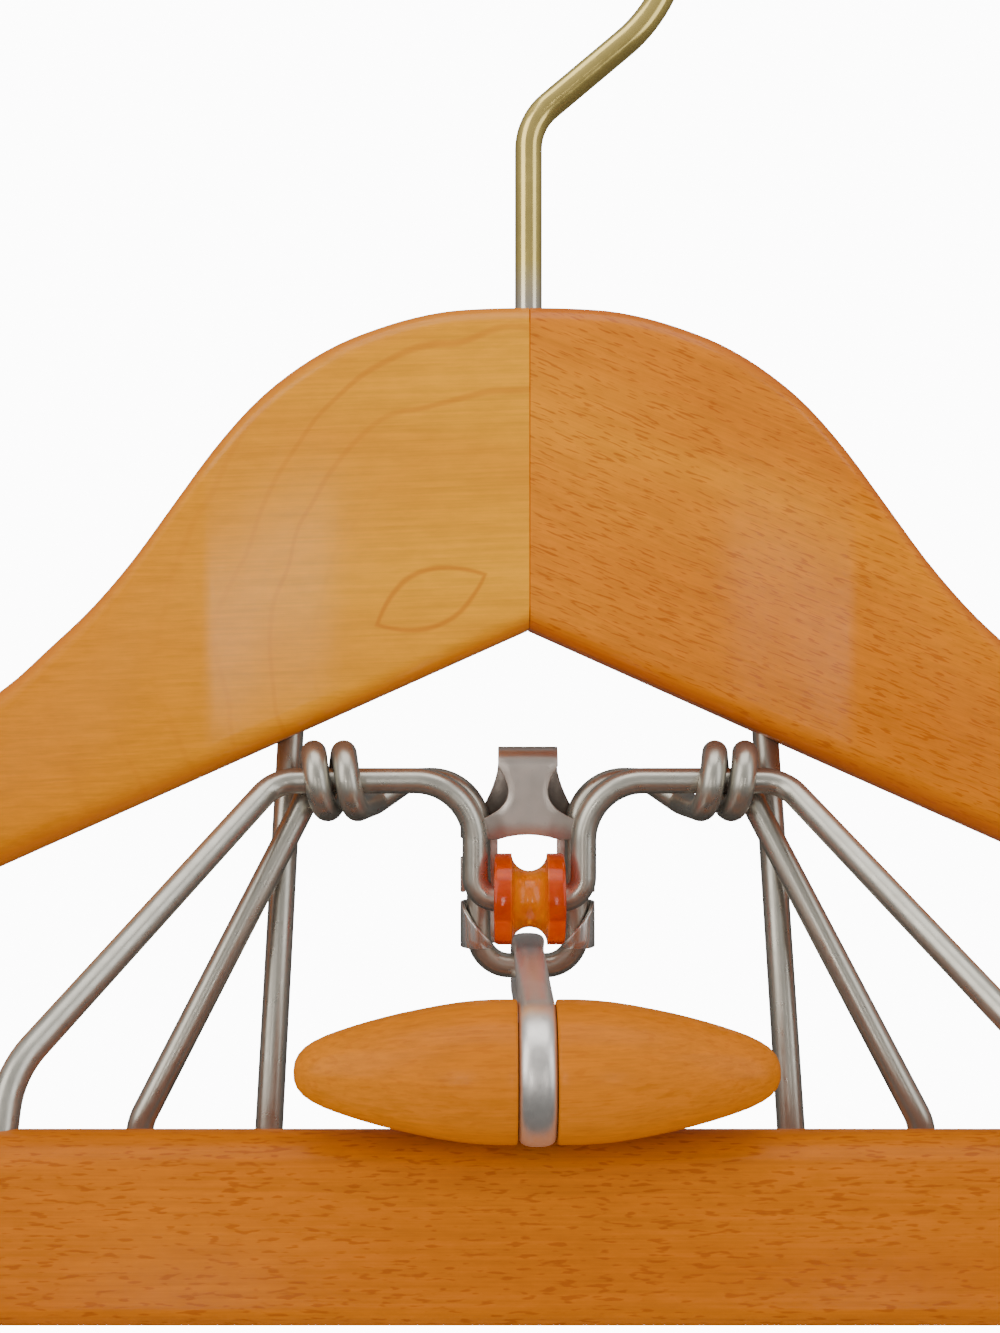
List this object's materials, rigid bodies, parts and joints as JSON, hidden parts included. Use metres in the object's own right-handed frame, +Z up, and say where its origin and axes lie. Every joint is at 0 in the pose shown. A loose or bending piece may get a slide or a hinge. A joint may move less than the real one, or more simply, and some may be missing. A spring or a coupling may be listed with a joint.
{
  "type": "suit hanger",
  "caption": "Wooden suit hanger with a wire hook and, below, a wire-framed trouser clamp that a roller and a wooden handle work.",
  "frame": {"origin": "top of the hook's throat, where the hook's wire rests on a rail", "axes": "+Z up, +X along the shoulders towards the wearer's left as seen from the front, -Y towards the front"},
  "size_m": [0.4292, 0.0644, 0.2086],
  "materials": {
    "hook_brass": "thin brass plating on steel wire, polished",
    "left_wood": "golden maple under clear lacquer",
    "right_wood": "orange-brown flecked beech under clear lacquer",
    "leg_steel": "bright nickel-plated rod",
    "front_frame_steel": "bright nickel-plated spring wire",
    "rear_spring_steel": "bright nickel-plated spring wire",
    "clip_steel": "pressed and plated sheet",
    "roller_amber": "clear amber moulding, glossy",
    "ring_steel": "bright strap with rounded edges",
    "front_bar_wood": "orange-brown beech, lacquered",
    "rear_bar_wood": "orange-brown beech, lacquered",
    "grip_wood": "turned beech, lacquered"
  },
  "bodies": {
    "hook": {"hook": "hook_brass"},
    "hanger": {"left_shoulder": "left_wood", "right_shoulder": "right_wood", "left_leg": "leg_steel", "right_leg": "leg_steel", "rear_bar": "rear_bar_wood", "rear_spring": "rear_spring_steel", "saddle_clip": "clip_steel"},
    "front_clamp": {"front_frame": "front_frame_steel", "front_bar": "front_bar_wood"},
    "roller": {"roller": "roller_amber"},
    "handle_ring": {"handle_ring": "ring_steel"},
    "grip": {"grip": "grip_wood"}
  },
  "joints": [
    {"name": "hook_swivel", "type": "hinge", "parent": "hook", "child": "hanger", "pos_m": [0, 0, -0.07398], "axis": [0, 0, 1], "continuous": true},
    {"name": "clamp_swing", "type": "hinge", "parent": "hanger", "child": "front_clamp", "pos_m": [0, -0.006, -0.13828], "axis": [1, 0, 0], "range_deg": [0, 22]},
    {"name": "handle_lift", "type": "hinge", "parent": "hanger", "child": "handle_ring", "pos_m": [0, 0.006, -0.16598], "axis": [-1, 0, 0], "range_deg": [0, 20.9]},
    {"name": "roller_spin", "type": "hinge", "parent": "front_clamp", "child": "roller", "pos_m": [0, -0.006, -0.15438], "axis": [1, 0, 0], "continuous": true},
    {"name": "grip_spin", "type": "hinge", "parent": "handle_ring", "child": "grip", "pos_m": [0, -0.046, -0.16653], "axis": [1, 0, 0], "continuous": true}
  ],
  "couplings": [
    {"joint": "handle_lift", "follows": "clamp_swing", "ratio": 0.95}
  ]
}
